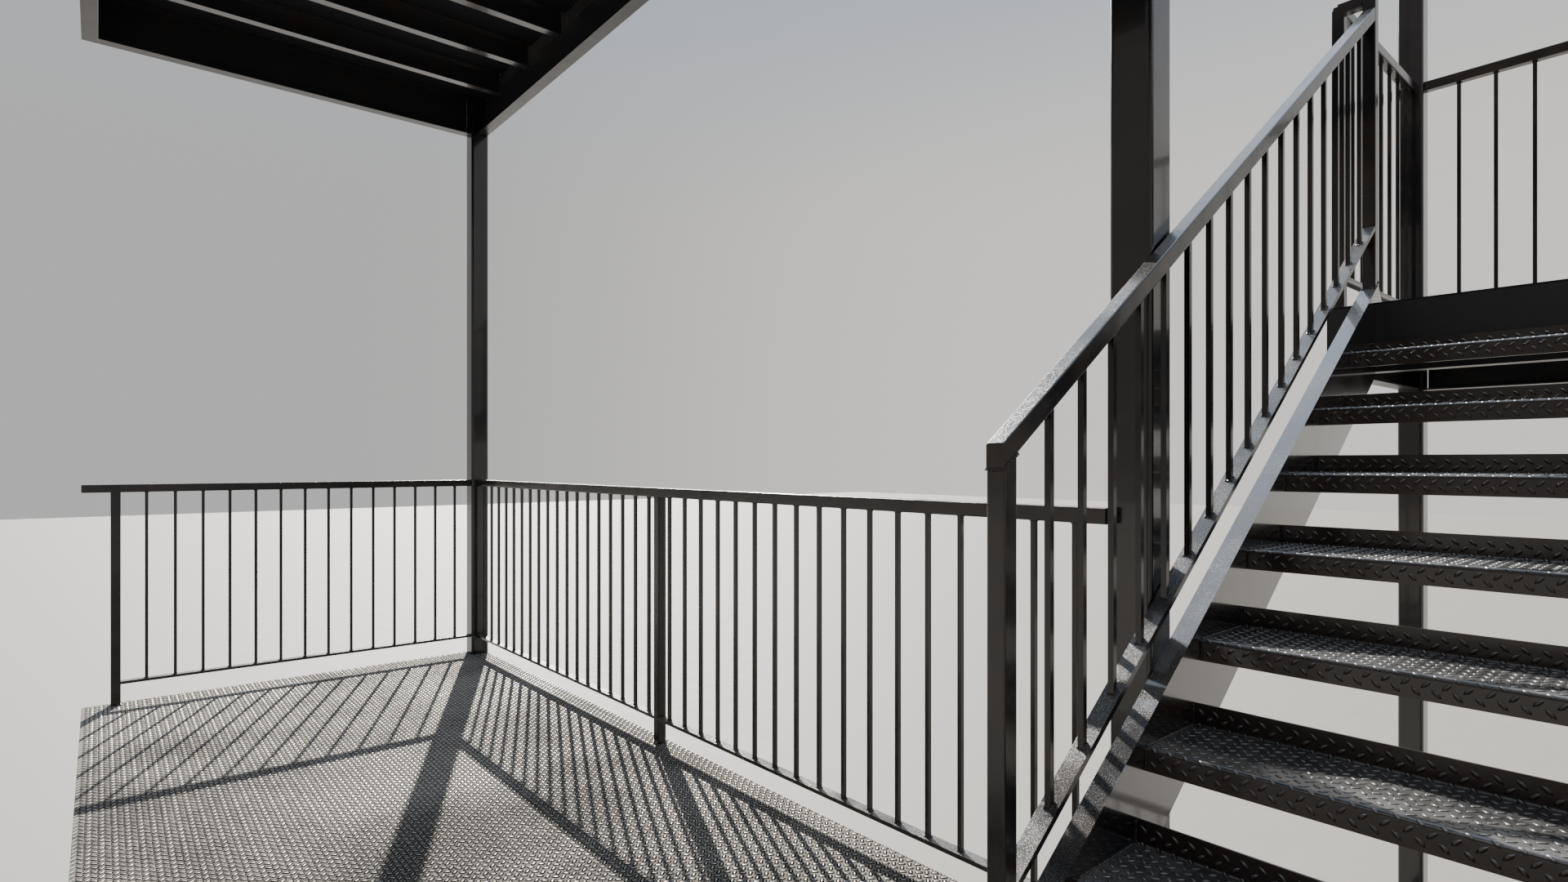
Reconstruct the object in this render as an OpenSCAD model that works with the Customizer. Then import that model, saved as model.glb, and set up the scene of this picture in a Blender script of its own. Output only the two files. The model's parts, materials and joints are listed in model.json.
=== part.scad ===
// Steel fire escape stair: two decks on a house wall and four flights that
// turn back on two mid-landings. X runs along the wall, Y away from it and Z up.
// The origin is under the base plate of the middle column, at ground level.

/* [Storeys] */
// Height of one riser
riser_h = 190.5; // [178:0.5:200]
// Level distance from one nosing to the next
tread_run = 270; // [254:1:300]
// Risers in one flight, of which two make a storey
flight_risers = 9; // [7:1:10]

/* [Plan] */
// Distance from the far column to the middle column
far_bay = 4170; // [3000:10:5000]
// Distance from the far column to the middle post of a front guard
front_post = 2150; // [1200:10:2400]
// Distance from the wall to the column line
deck_depth = 1861; // [1500:1:2200]
// Distance from the column line back to the stair edge of a deck
stair_set = 641; // [450:1:700]
// Depth of a mid-landing from its nosing to its far edge
landing_depth = 1037; // [900:1:1300]
// Clear width of a flight between its stringer webs
flight_w = 914.4; // [760:0.1:1100]
// Gap between the two flights of a storey
flight_gap = 50; // [30:1:120]
// Distance from a guard line out to the edge of its floor
floor_edge = 46; // [40:1:50]
// Distance from the deck columns' line out to the landing columns' line
landing_out = 18; // [0:1:30]

/* [Columns] */
// Outer width of a deck column
col_w = 101.6; // [90:0.1:127]
// Outer width of a landing column
landing_col_w = 88.9; // [76:0.1:101]
// Wall thickness of a column
col_t = 6.35; // [4:0.05:10]
// Outer corner radius of a column
col_r = 12.7; // [8:0.1:16]
// Height of the landing columns over the upper deck's floor
landing_col_rise = 0; // [-300:10:600]
// Side of a base plate
base_w = 254; // [220:1:320]
// Thickness of a base plate
base_t = 19; // [12:1:30]
// Distance between anchor holes in a base plate
anchor_pitch = 190; // [170:1:200]
// Radius of an anchor hole
anchor_r = 11; // [8:0.5:13]
// Thickness of a column's cap plate
cap_t = 6.35; // [4:0.05:12]

/* [Floors] */
// Thickness of a floor plate
plate_t = 6.35; // [4:0.05:10]
// Depth of a frame channel
beam_h = 228.6; // [180:0.1:254]
// Flange width of a frame channel
beam_b = 61; // [50:1:70]
// Web thickness of a frame channel
beam_web = 6; // [5:0.1:10]
// Depth of a joist channel
joist_h = 120; // [100:1:152]
// Flange width of a joist channel
joist_b = 44.5; // [38:0.5:50]
// Web thickness of a joist channel
joist_web = 4.8; // [4:0.1:8]
// Spaces between joists in the far bay of a deck
far_spaces = 10; // [8:1:13]
// Spaces between joists beside the stair and in a mid-landing
near_spaces = 5; // [4:1:8]

/* [Stair] */
// Depth of a stringer channel, square to its slope
stringer_h = 238; // [200:1:254]
// Flange width of a stringer channel
stringer_b = 46; // [40:1:60]
// Web thickness of a stringer channel
stringer_web = 6.5; // [5:0.1:10]
// Height of a stringer's top edge over the line of the nosings
stringer_rise = 41; // [20:1:60]
// Length of a stringer's foot before the first nosing
foot_run = 110; // [80:1:140]
// Length of the stringer's top edge past the top nosing
head_run = 35; // [20:1:45]
// Thickness of a tread's bent plate
tread_t = 4.8; // [3:0.1:8]
// Depth of a tread from its nosing to its back lip
tread_depth = 235; // [200:1:250]
// Height of a tread's front lip and back lip
tread_lip = 50.8; // [30:0.1:60]

/* [Guards] */
// Height of a guard's top over the floor
guard_h = 1067; // [915:1:1200]
// Width of the top rails, handrails and posts
rail_w = 38.1; // [32:0.1:45]
// Corner radius of the top rails, handrails and posts
rail_r = 4; // [2:0.5:6]
// Thickness of a bottom rail, a shallow channel with its legs down
bottom_rail_h = 12.7; // [8:0.1:20]
// Wall thickness of a bottom rail
bottom_rail_t = 3.2; // [2:0.1:5]
// Height of a bottom rail's underside over the floor
guard_gap = 101.6; // [60:0.1:110]
// Width of a picket
picket_w = 12.7; // [10:0.1:16]
// Distance from picket to picket on a deck
picket_pitch = 113.8; // [95:0.1:120]
// Distance from picket to picket over a stringer and on a landing
stair_pitch = 116.4; // [95:0.1:120]
// Least distance from a picket to the post or the column after it
picket_end = 60; // [40:1:62]
// Distance from a column or a post to the next picket of a front guard
front_picket = 76; // [60:1:110]
// Distance from a wall post to the next picket of a far guard
far_picket = 118; // [60:1:120]
// Distance from a newel or a landing's corner post to the next picket
newel_picket = 150; // [60:1:150]
// Distance from a landing column to the next picket of a back guard
back_picket = 111; // [60:1:120]
// Distance from the wall to a guard's end post
wall_post = 126; // [80:1:200]
// Height of a handrail's top over the line of the nosings at the newel
handrail_foot = 986; // [860:1:1010]
// Height of a handrail's top over the line of the nosings at the top post
handrail_head = 999; // [860:1:1020]
// Height of a sloping bottom rail's top over the same line at the newel
rake_rail_foot = 184; // [120:1:260]
// Height of a sloping bottom rail's top over the same line at the top post
rake_rail_head = 254; // [120:1:300]
// Distance from the first nosing to the newel's centre
newel_run = 62; // [40:1:90]
// Distance from the top nosing to the top post's centre
top_post_run = 34.3; // [20:0.1:60]

/* [Hidden] */

// Clearance between pieces that are welded but drawn apart
fit = 0.4;
// Overlap that fuses a picket or a post with its rails
sink = 1;
// Share of a channel's mean flange thickness at the tip and at the web
flange_tip = 0.72;
flange_root = 1.3;

steel = [0.09, 0.09, 0.1];
floor_grey = [0.5, 0.5, 0.49];

flight_h = flight_risers * riser_h;
storey_h = 2 * flight_h;
flight_run = (flight_risers - 1) * tread_run;
slope = atan2(riser_h, tread_run);
col_half = col_w / 2;
landing_half = landing_col_w / 2;
rail_half = rail_w / 2;

stair_w = flight_w + 2 * stringer_b;
x_far = -far_bay;
x_near = col_w + 2 * stair_w + flight_gap;
x_up = col_half;
x_back = x_up + stair_w + flight_gap;
x_left = -landing_out;
x_right = x_near + landing_out;

y_wall = -deck_depth;
y_beside = col_half + rail_half + fit;
y_stair = -stair_set;
y_land = y_stair + flight_run;
y_out = y_land + landing_depth - floor_edge;
top_post_y = flight_run + top_post_run;

top_z = 2 * storey_h + guard_h;

// A square with rounded corners about the origin
module round_square(w, r) {
    square([w, w - 2 * r], center = true);
    square([w - 2 * r, w], center = true);
    for (x = [-1, 1], y = [-1, 1])
        translate([x * (w / 2 - r), y * (w / 2 - r)]) circle(r, $fn = 24);
}

// A channel's section: its back lies on x = 0, its flanges point to +x and its
// top is at y = 0
module channel(h, b, web) {
    flange = web * 1.35;
    tip = flange * flange_tip;
    root = flange * flange_root;
    polygon([
        [0, 0], [b, 0], [b, -tip], [web, -root],
        [web, root - h], [b, tip - h], [b, -h], [0, -h]
    ]);
}

// A bar of the given section along +Y, the section's x staying x and its y up
module bar_y(length) {
    translate([0, length, 0]) rotate([90, 0, 0]) linear_extrude(length) children();
}

// A bar of the given section along +X, the section's x pointing to +Y and its y up
module bar_x(length) {
    rotate([90, 0, 90]) linear_extrude(length) children();
}

module column(x, y, w, top) {
    color(steel) translate([x, y, base_t]) linear_extrude(top - cap_t - base_t) difference() {
        round_square(w, col_r);
        round_square(w - 2 * col_t, col_r - col_t);
    }
}

// Place, width and top of each column; the two beside the stair stand outside
// the line of the front guard, which ends on the middle one's corner
function column_places() = [
    [x_far, 0, col_w, top_z],
    [0, y_beside, col_w, top_z], [x_near, y_beside, col_w, top_z],
    [x_left, y_out, landing_col_w, landing_top()], [x_right, y_out, landing_col_w, landing_top()]
];

function landing_top() = 2 * storey_h + landing_col_rise;

module base_plates() {
    for (place = column_places())
        color(steel) translate([place[0], place[1], 0]) linear_extrude(base_t) difference() {
            square(base_w, center = true);
            for (x = [-1, 1], y = [-1, 1])
                translate([x, y] * anchor_pitch / 2) circle(anchor_r, $fn = 32);
        }
}

module column_caps() {
    for (place = column_places())
        color(steel) translate([place[0], place[1], place[3] - cap_t])
            linear_extrude(cap_t) round_square(place[2], col_r);
}

// Floor plates of a deck: two sheets in the far bay and one beside the stair
module deck_plate(z) {
    seam = x_far / 2 + fit / 2;
    color(floor_grey) translate([0, 0, z - plate_t]) linear_extrude(plate_t) difference() {
        union() {
            translate([x_far - floor_edge, y_wall])
                square([far_bay / 2 + floor_edge - fit / 2, deck_depth + floor_edge]);
            translate([seam, y_wall])
                square([floor_edge - seam - fit / 2, deck_depth + floor_edge]);
            translate([floor_edge + fit / 2, y_wall])
                square([x_near - fit / 2, deck_depth - stair_set]);
        }
        translate([x_far, 0]) round_square(col_w + 2 * fit, col_r + fit);
        translate([x_far - floor_edge - fit, fit])
            square([floor_edge + fit, floor_edge]);
        translate([-col_half - fit, y_beside - col_half - fit])
            square([col_half + floor_edge + 2 * fit, floor_edge]);
    }
}

// Frame of a deck: its backs face out and its flanges point in
module deck_frame(z) {
    side_y = y_wall + beam_b + fit;
    far_run = -col_half - fit - side_y;
    near_run = y_beside + far_run;
    color(steel) translate([0, 0, z - plate_t]) {
        translate([x_far + col_half + fit, floor_edge, 0])
            mirror([0, 1, 0]) bar_x(far_bay - col_w - 2 * fit) channel(beam_h, beam_b, beam_web);
        translate([x_far - floor_edge, side_y, 0])
            bar_y(far_run) channel(beam_h, beam_b, beam_web);
        for (x = [0, x_near])
            translate([x + floor_edge, side_y, 0])
                mirror([1, 0, 0]) bar_y(near_run) channel(beam_h, beam_b, beam_web);
        translate([floor_edge + fit, y_stair, 0])
            mirror([0, 1, 0]) bar_x(x_near - beam_b - 2 * fit) channel(beam_h, beam_b, beam_web);
    }
}

module wall_ledger(z) {
    color(steel) translate([x_far - floor_edge, y_wall, z - plate_t])
        bar_x(far_bay + x_near + 2 * floor_edge) channel(beam_h, beam_b, beam_web);
}

// Joists that divide a floor from x0 to x1 into equal spaces
module joists(x0, x1, y0, y1, spaces) {
    pitch = (x1 - x0) / spaces;
    for (i = [1 : spaces - 1])
        translate([x0 + i * pitch - joist_b / 2, y0, 0])
            bar_y(y1 - y0) channel(joist_h, joist_b, joist_web);
}

module deck_joists(z) {
    y0 = y_wall + beam_b + fit;
    color(steel) translate([0, 0, z - plate_t]) {
        joists(x_far, 0, y0, floor_edge - beam_b - fit, far_spaces);
        joists(0, x_near, y0, y_stair - beam_b - fit, near_spaces);
    }
}

// Places of the pickets between a and b at the given pitch, the first of them
// lead after a, or with equal distances left over at both ends
function pickets(a, b, pitch, lead) =
    let (
        run = b - a - picket_end,
        spaces = floor((run - (is_undef(lead) ? picket_end : lead)) / pitch),
        first = is_undef(lead) ? (b - a - spaces * pitch) / 2 : lead
    )
    [for (i = [0 : spaces]) a + first + i * pitch];

module bottom_rail_section() {
    polygon([
        [-rail_half, 0], [-rail_half, bottom_rail_h], [rail_half, bottom_rail_h], [rail_half, 0],
        [rail_half - bottom_rail_t, 0], [rail_half - bottom_rail_t, bottom_rail_h - bottom_rail_t],
        [bottom_rail_t - rail_half, bottom_rail_h - bottom_rail_t], [bottom_rail_t - rail_half, 0]
    ]);
}

module post(height) {
    linear_extrude(height) round_square(rail_w, rail_r);
}

// A level guard along +X over the stretch from 0 to length, with posts at the
// given places; its bottom rail starts at the place start, and lead and pitch
// set out its pickets
module guard(length, posts = [], start = 0, pitch = picket_pitch, lead = undef) {
    stops = concat([start], [for (p = posts) if (p > start && p < length - rail_w) p], [length]);
    translate([0, 0, guard_h - rail_half]) rotate([0, 90, 0])
        linear_extrude(length) round_square(rail_w, rail_r);
    translate([start, 0, guard_gap]) bar_x(length - start) bottom_rail_section();
    for (p = posts) translate([p, 0, 0]) post(guard_h - rail_half);
    for (i = [0 : len(stops) - 2], x = pickets(stops[i], stops[i + 1], pitch, lead))
        translate([x - picket_w / 2, -picket_w / 2, guard_gap + bottom_rail_h - sink])
            cube([picket_w, picket_w, guard_h - rail_w - guard_gap - bottom_rail_h + 2 * sink]);
}

module front_guard(z) {
    x0 = x_far + col_half + fit;
    x1 = col_r - col_half;
    color(steel) translate([x0, 0, z])
        guard(x1 - x0, [x_far + front_post - x0], lead = front_picket);
}

module far_guard(z) {
    color(steel) translate([x_far, y_wall, z]) rotate([0, 0, 90])
        guard(deck_depth - col_half - fit, [wall_post], wall_post, lead = far_picket);
}

module near_guard(z) {
    reach = deck_depth - stair_set - rail_half;
    color(steel) translate([x_near, y_wall, z]) rotate([0, 0, 90])
        guard(reach, [wall_post, reach - rail_half], wall_post);
}

// Guards round the open side of the upper deck's stair edge
module stair_guard(z) {
    y_line = y_stair - top_post_run;
    reach = x_back + stringer_b / 2 - rail_half - fit;
    color(steel) {
        translate([0, y_line, z]) rotate([0, 0, 90]) guard(rail_half - y_line, [0]);
        translate([rail_half + fit, y_line, z]) guard(reach - rail_half - fit);
    }
}

module landing_plate(z) {
    color(floor_grey) translate([0, 0, z - plate_t]) linear_extrude(plate_t) difference() {
        translate([-floor_edge, y_land]) square([x_near + 2 * floor_edge, landing_depth]);
        for (side = [0, 1]) translate([side * x_near, y_out]) mirror([side, 0]) {
            translate([x_left, 0]) round_square(landing_col_w + 2 * fit, col_r + fit);
            translate([x_left - landing_half, 0])
                square([landing_col_w + fit, floor_edge + fit]);
        }
    }
}

module landing_frame(z) {
    near_y = y_land + beam_b + fit;
    side_run = y_out - landing_half - fit - near_y;
    far_x = x_left + landing_half + fit;
    color(steel) translate([0, 0, z - plate_t]) {
        translate([-floor_edge, y_land, 0])
            bar_x(x_near + 2 * floor_edge) channel(beam_h, beam_b, beam_web);
        translate([far_x, y_out + floor_edge, 0])
            mirror([0, 1, 0]) bar_x(x_near - 2 * far_x) channel(beam_h, beam_b, beam_web);
        translate([-floor_edge, near_y, 0])
            bar_y(side_run) channel(beam_h, beam_b, beam_web);
        translate([x_near + floor_edge, near_y, 0])
            mirror([1, 0, 0]) bar_y(side_run) channel(beam_h, beam_b, beam_web);
        joists(0, x_near, near_y, y_out + floor_edge - beam_b - fit, near_spaces);
    }
}

module landing_guards(z) {
    y_post = y_land + top_post_run;
    side = y_out - landing_half - fit - y_post;
    back = x_right - x_left - landing_col_w - 2 * fit;
    tie = x_up + stringer_b / 2 - rail_half - fit - x_left;
    color(steel) translate([0, 0, z]) {
        for (x = [x_left, x_right]) translate([x, y_post, 0]) rotate([0, 0, 90])
            guard(side, [0], 0, stair_pitch, newel_picket);
        translate([x_left, y_post, guard_h - rail_half]) rotate([0, 90, 0])
            linear_extrude(tie) round_square(rail_w, rail_r);
        translate([x_left + landing_half + fit, y_out, 0])
            guard(back, pitch = stair_pitch, lead = back_picket);
    }
}

// A sloping line over a flight is given by its two heights over the line of the
// nosings, at the newel and at the top post. This is its height at the place y
function rake_z(y, line) =
    let (share = (y - newel_run) / (top_post_y - newel_run))
    riser_h + y * tan(slope) + line[0] + (line[1] - line[0]) * share;

// The line that lies square below another one by the given depth
function under(line, depth) =
    let (rise = rake_z(top_post_y, line) - rake_z(newel_run, line))
    let (tilt = atan2(rise, top_post_y - newel_run))
    [for (height = line) height - depth / cos(tilt)];

// A sloping bar between the upright planes at y0 and y1, whose section's origin
// follows a line
module rake(y0, y1, line) {
    z0 = rake_z(y0, line);
    tilt = atan2(rake_z(y1, line) - z0, y1 - y0);
    spare = beam_h;
    intersection() {
        translate([0, y0, z0]) rotate([tilt, 0, 0]) translate([0, -spare, 0])
            bar_y((y1 - y0) / cos(tilt) + 2 * spare) children();
        translate([-stair_w, y0, -storey_h]) cube([2 * stair_w, y1 - y0, 4 * storey_h]);
    }
}

// One stringer from its foot on a floor to its head, which is cut square and
// stands on the floor above
module stringer() {
    edge = [stringer_rise, stringer_rise];
    back = flight_run - fit;
    peak_y = flight_run + head_run;
    peak_z = rake_z(peak_y, edge);
    intersection() {
        rake(-foot_run, peak_y + stringer_h, edge)
            translate([stringer_b, 0]) mirror([1, 0]) channel(stringer_h, stringer_b, stringer_web);
        bar_x(stringer_b) polygon([
            [-foot_run, 0], [back, 0], [back, flight_h],
            [peak_y + (peak_z - flight_h) * tan(slope), flight_h],
            [peak_y - stringer_h * tan(slope), peak_z + stringer_h], [-foot_run, peak_z + stringer_h]
        ]);
    }
}

module stringers() {
    color(steel) {
        stringer();
        translate([stair_w, 0, 0]) mirror([1, 0, 0]) stringer();
    }
}

// A quarter of a bend in plate, about the origin
module bend() {
    intersection() {
        difference() {
            circle(2 * tread_t, $fn = 32);
            circle(tread_t, $fn = 32);
        }
        translate([-2 * tread_t, 0]) square(2 * tread_t);
    }
}

// A tread's section from its nosing at the origin: a lip down in front and a
// lip up behind
module tread_section() {
    bend_r = 2 * tread_t;
    translate([0, -tread_lip]) square([tread_t, tread_lip - bend_r]);
    translate([bend_r, -bend_r]) bend();
    translate([bend_r, -tread_t]) square([tread_depth - 2 * bend_r, tread_t]);
    translate([tread_depth - bend_r, bend_r - tread_t]) rotate(180) bend();
    translate([tread_depth - tread_t, bend_r - tread_t]) square([tread_t, tread_lip - bend_r + tread_t]);
}

module treads() {
    for (i = [1 : flight_risers - 1])
        color(floor_grey) translate([stringer_b + fit, (i - 1) * tread_run, i * riser_h])
            bar_x(flight_w - 2 * fit) tread_section();
}

// Railing over a stringer: the newel and the top post, which stand on it, and
// between them the handrail and the bottom rail with their pickets
module rake_rail() {
    hand = [handrail_foot, handrail_head];
    bottom = [rake_rail_foot, rake_rail_head];
    seat = [stringer_rise + fit, stringer_rise + fit];
    post_face = top_post_y - rail_half - fit;
    rake(newel_run - rail_half, post_face, hand)
        translate([0, -rail_half]) round_square(rail_w, rail_r);
    rake(newel_run + rail_half + fit, post_face, bottom)
        translate([0, -bottom_rail_h]) bottom_rail_section();
    for (y = pickets(newel_run, top_post_y, stair_pitch, newel_picket))
        rake_bar(y, picket_w, under(bottom, sink), under(hand, rail_w - sink));
    intersection() {
        translate([0, newel_run, 0]) post(2 * flight_h);
        rake_bar(newel_run, 2 * rail_w, seat, under(hand, rail_w + fit));
    }
    intersection() {
        translate([0, top_post_y, 0]) post(flight_h + guard_h);
        rake_bar(top_post_y, 2 * rail_w, seat, [flight_h, flight_h]);
    }
}

// An upright square bar at y, with its ends on two lines
module rake_bar(y, w, low, high) {
    corners = [[y - w / 2, low], [y + w / 2, low], [y + w / 2, high], [y - w / 2, high]];
    translate([-w / 2, 0, 0]) bar_x(w) polygon([for (c = corners) [c[0], rake_z(c[0], c[1])]]);
}

// Places what rises away from the wall, from the floor at z
module rising(z) {
    translate([x_up, y_stair, z]) children();
}

// Places what rises back towards the wall, from the landing at z
module returning(z) {
    translate([x_back, y_land, z]) mirror([0, 1, 0]) children();
}

module left_rail() {
    color(steel) translate([stringer_b / 2, 0, 0]) rake_rail();
}

module right_rail() {
    color(steel) translate([stair_w - stringer_b / 2, 0, 0]) rake_rail();
}

lower_z = storey_h;
upper_z = 2 * storey_h;
lower_landing_z = flight_h;
upper_landing_z = storey_h + flight_h;

base_plates();
column_caps();
column(x_far, 0, col_w, top_z);  // far_column
column(0, y_beside, col_w, top_z);  // middle_column
column(x_near, y_beside, col_w, top_z);  // near_column
column(x_left, y_out, landing_col_w, landing_top());  // landing_column_left
column(x_right, y_out, landing_col_w, landing_top());  // landing_column_right
deck_plate(lower_z);  // lower_deck_plate
deck_frame(lower_z);  // lower_deck_frame
wall_ledger(lower_z);  // lower_wall_ledger
deck_joists(lower_z);  // lower_deck_joists
front_guard(lower_z);  // lower_front_guard
far_guard(lower_z);  // lower_far_guard
near_guard(lower_z);  // lower_near_guard
deck_plate(upper_z);  // upper_deck_plate
deck_frame(upper_z);  // upper_deck_frame
wall_ledger(upper_z);  // upper_wall_ledger
deck_joists(upper_z);  // upper_deck_joists
front_guard(upper_z);  // upper_front_guard
far_guard(upper_z);  // upper_far_guard
near_guard(upper_z);  // upper_near_guard
stair_guard(upper_z);  // upper_stair_guard
landing_plate(lower_landing_z);  // lower_landing_plate
landing_frame(lower_landing_z);  // lower_landing_frame
landing_guards(lower_landing_z);  // lower_landing_guards
landing_plate(upper_landing_z);  // upper_landing_plate
landing_frame(upper_landing_z);  // upper_landing_frame
landing_guards(upper_landing_z);  // upper_landing_guards
rising(0) stringers();  // first_flight_stringers
rising(0) treads();  // first_flight_treads
rising(0) left_rail();  // first_flight_outer_rail
rising(0) right_rail();  // first_flight_inner_rail
returning(lower_landing_z) stringers();  // second_flight_stringers
returning(lower_landing_z) treads();  // second_flight_treads
returning(lower_landing_z) right_rail();  // second_flight_outer_rail
returning(lower_landing_z) left_rail();  // second_flight_inner_rail
rising(lower_z) stringers();  // third_flight_stringers
rising(lower_z) treads();  // third_flight_treads
rising(lower_z) left_rail();  // third_flight_outer_rail
rising(lower_z) right_rail();  // third_flight_inner_rail
returning(upper_landing_z) stringers();  // fourth_flight_stringers
returning(upper_landing_z) treads();  // fourth_flight_treads
returning(upper_landing_z) right_rail();  // fourth_flight_outer_rail
returning(upper_landing_z) left_rail();  // fourth_flight_inner_rail
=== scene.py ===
import json
import math

import bpy
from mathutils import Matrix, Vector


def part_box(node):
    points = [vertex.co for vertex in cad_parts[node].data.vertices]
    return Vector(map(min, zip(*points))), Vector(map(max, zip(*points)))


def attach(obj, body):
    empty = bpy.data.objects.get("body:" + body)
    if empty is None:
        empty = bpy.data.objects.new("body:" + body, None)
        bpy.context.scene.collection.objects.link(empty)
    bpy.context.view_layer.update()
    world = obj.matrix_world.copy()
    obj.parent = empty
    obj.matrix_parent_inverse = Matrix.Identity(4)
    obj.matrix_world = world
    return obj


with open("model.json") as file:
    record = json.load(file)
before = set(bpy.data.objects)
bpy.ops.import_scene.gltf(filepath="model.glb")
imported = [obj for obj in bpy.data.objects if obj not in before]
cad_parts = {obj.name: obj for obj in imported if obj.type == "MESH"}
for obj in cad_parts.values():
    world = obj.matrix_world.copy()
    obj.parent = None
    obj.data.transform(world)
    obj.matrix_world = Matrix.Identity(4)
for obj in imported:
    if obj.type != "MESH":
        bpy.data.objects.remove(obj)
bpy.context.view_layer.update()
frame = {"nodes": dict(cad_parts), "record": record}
nodes = frame["nodes"]
print("frame loaded:", len(nodes), "nodes")


class Value:
    # One socket of a node tree; arithmetic on values adds Math nodes
    def __init__(self, tree, socket=None):
        self.tree, self.socket = tree, socket

    # A node of any type: values are linked to its inputs, and anything else is set there
    def node(self, kind, settings={}, inputs={}, output=0):
        made = self.tree.nodes.new(kind)
        for name, setting in settings.items():
            setattr(made, name, setting)
        for name, given in inputs.items():
            if isinstance(given, Value):
                self.tree.links.new(given.socket, made.inputs[name])
            else:
                made.inputs[name].default_value = given
        return Value(self.tree, made.outputs[output])

    def math(self, operation, a, b=0.0):
        return self.node("ShaderNodeMath", {"operation": operation}, {0: a, 1: b})

    def __add__(self, other):
        return self.math("ADD", self, other)

    def __sub__(self, other):
        return self.math("SUBTRACT", self, other)

    def __rsub__(self, other):
        return self.math("SUBTRACT", other, self)

    def __mul__(self, other):
        return self.math("MULTIPLY", self, other)

    def __truediv__(self, other):
        return self.math("DIVIDE", self, other)

    __radd__ = __add__
    __rmul__ = __mul__

    def above(self, edge):
        return self.math("GREATER_THAN", self, edge)

    def between(self, low, high):
        return self.math("MINIMUM", self.math("MAXIMUM", self, low), high)

    # The three parts of a vector
    def parts(self):
        made = self.node("ShaderNodeSeparateXYZ", {}, {0: self})
        return [Value(self.tree, socket) for socket in made.socket.node.outputs]

    # 0 under low, 1 over high, and smooth in between
    def rise(self, low, high):
        settings = {"interpolation_type": "SMOOTHSTEP"}
        return self.node("ShaderNodeMapRange", settings, {0: self, 1: low, 2: high})

    def mixColour(self, factor, first, second):
        return self.node("ShaderNodeMix", {"data_type": "RGBA"}, {0: factor, 6: first, 7: second}, 2)


def colour(r, g, b):
    return (r, g, b, 1.0)


# A share that never falls under least
def atLeast(least, share):
    return least + (1 - least) * share


# Sizes of the frame that several pieces share, in metres
stair = {
    "farX": -4.17, "nearX": 2.1644,         # end columns of the decks; the middle one stands at 0
    "besideY": 0.07025,                     # the two columns beside the flights
    "leftX": -0.018, "rightX": 2.1824,      # columns of the landings
    "columnHalf": 0.0508, "landingHalf": 0.04445,
    "wallY": -1.861, "stairY": -0.641,      # edges of the decks, at the ledger and at the flights
    "landY": 1.519, "outY": 2.510,          # edge of the landings at the flights, and their far guard
    "floors": (3.429, 6.858), "landings": (1.7145, 5.1435),
    "floorEdge": 0.046,                     # from a guard's line out to the floor's edge
    "plate": 0.00635, "beam": 0.2286,       # thickness of a floor plate, height of the beams under it
    "notch": 0.03,                          # left free of lugs beside a column
    "baseTop": 0.019,                       # top of the columns' base plates
    "railLines": (0.0738, 1.0342, 1.1302, 2.0906),      # middles of the flights' railings
}

# Each flight by the height of its foot
flights = {
    "first": 0.0, "second": stair["landings"][0],
    "third": stair["floors"][0], "fourth": stair["landings"][1],
}
outward = ("first", "third")    # flights that climb away from a deck

# Raised lozenges of the checker plate, in two directions that alternate
lug = {
    "length": 0.025, "width": 0.0088, "height": 0.0018,
    "pitch": 0.0228,    # from one lug to the next, along either direction
    "sunk": 0.0002,     # of its foot into the plate
    "edge": 0.012,      # least distance from a lug's middle to the plate's edge
    "bareMargin": -0.002, "bareEdge": (0.4, 0.9),   # of the oval that feet wear bare
    "dirtShadeMargin": 0.005, "dirtEdge": (0.7, 1.2),    # of the oval that holds dirt and a painted shadow round the lug
}


# Materials. A noise is its scale, detail and roughness, and an edge is where a pattern starts and ends

def startLook(name):
    look = bpy.data.materials.new(name)
    look.use_nodes = True
    start = Value(look.node_tree)
    place = start.node("ShaderNodeTexCoord", {}, {}, "Object")
    return look, start, place


def noise(place, scale, detail=2.0, rough=0.5):
    inputs = {"Vector": place, "Scale": scale, "Detail": detail, "Roughness": rough}
    return place.node("ShaderNodeTexNoise", {}, inputs)


def facingUp(start):
    return start.node("ShaderNodeNewGeometry", {}, {}, "Normal").parts()[2]


def finishLook(look, start, finish, shown, roughness, height, metal=None):
    shader = look.node_tree.nodes["Principled BSDF"]
    bump = start.node("ShaderNodeBump", {}, {"Height": height, "Distance": 1.0})
    roughness = roughness.between(finish["roughLeast"], 1.0)
    varied = {"Base Color": shown, "Roughness": roughness, "Normal": bump}
    if metal:
        varied["Metallic"] = metal
    for name, value in varied.items():
        look.node_tree.links.new(value.socket, shader.inputs[name])
    fixed = {"Specular IOR Level": finish["gloss"], "Coat Weight": finish["coat"],
             "Coat Roughness": finish["coatRough"], "Coat IOR": finish["coatIor"]}
    for name, value in fixed.items():
        shader.inputs[name].default_value = value
    return look


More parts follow.
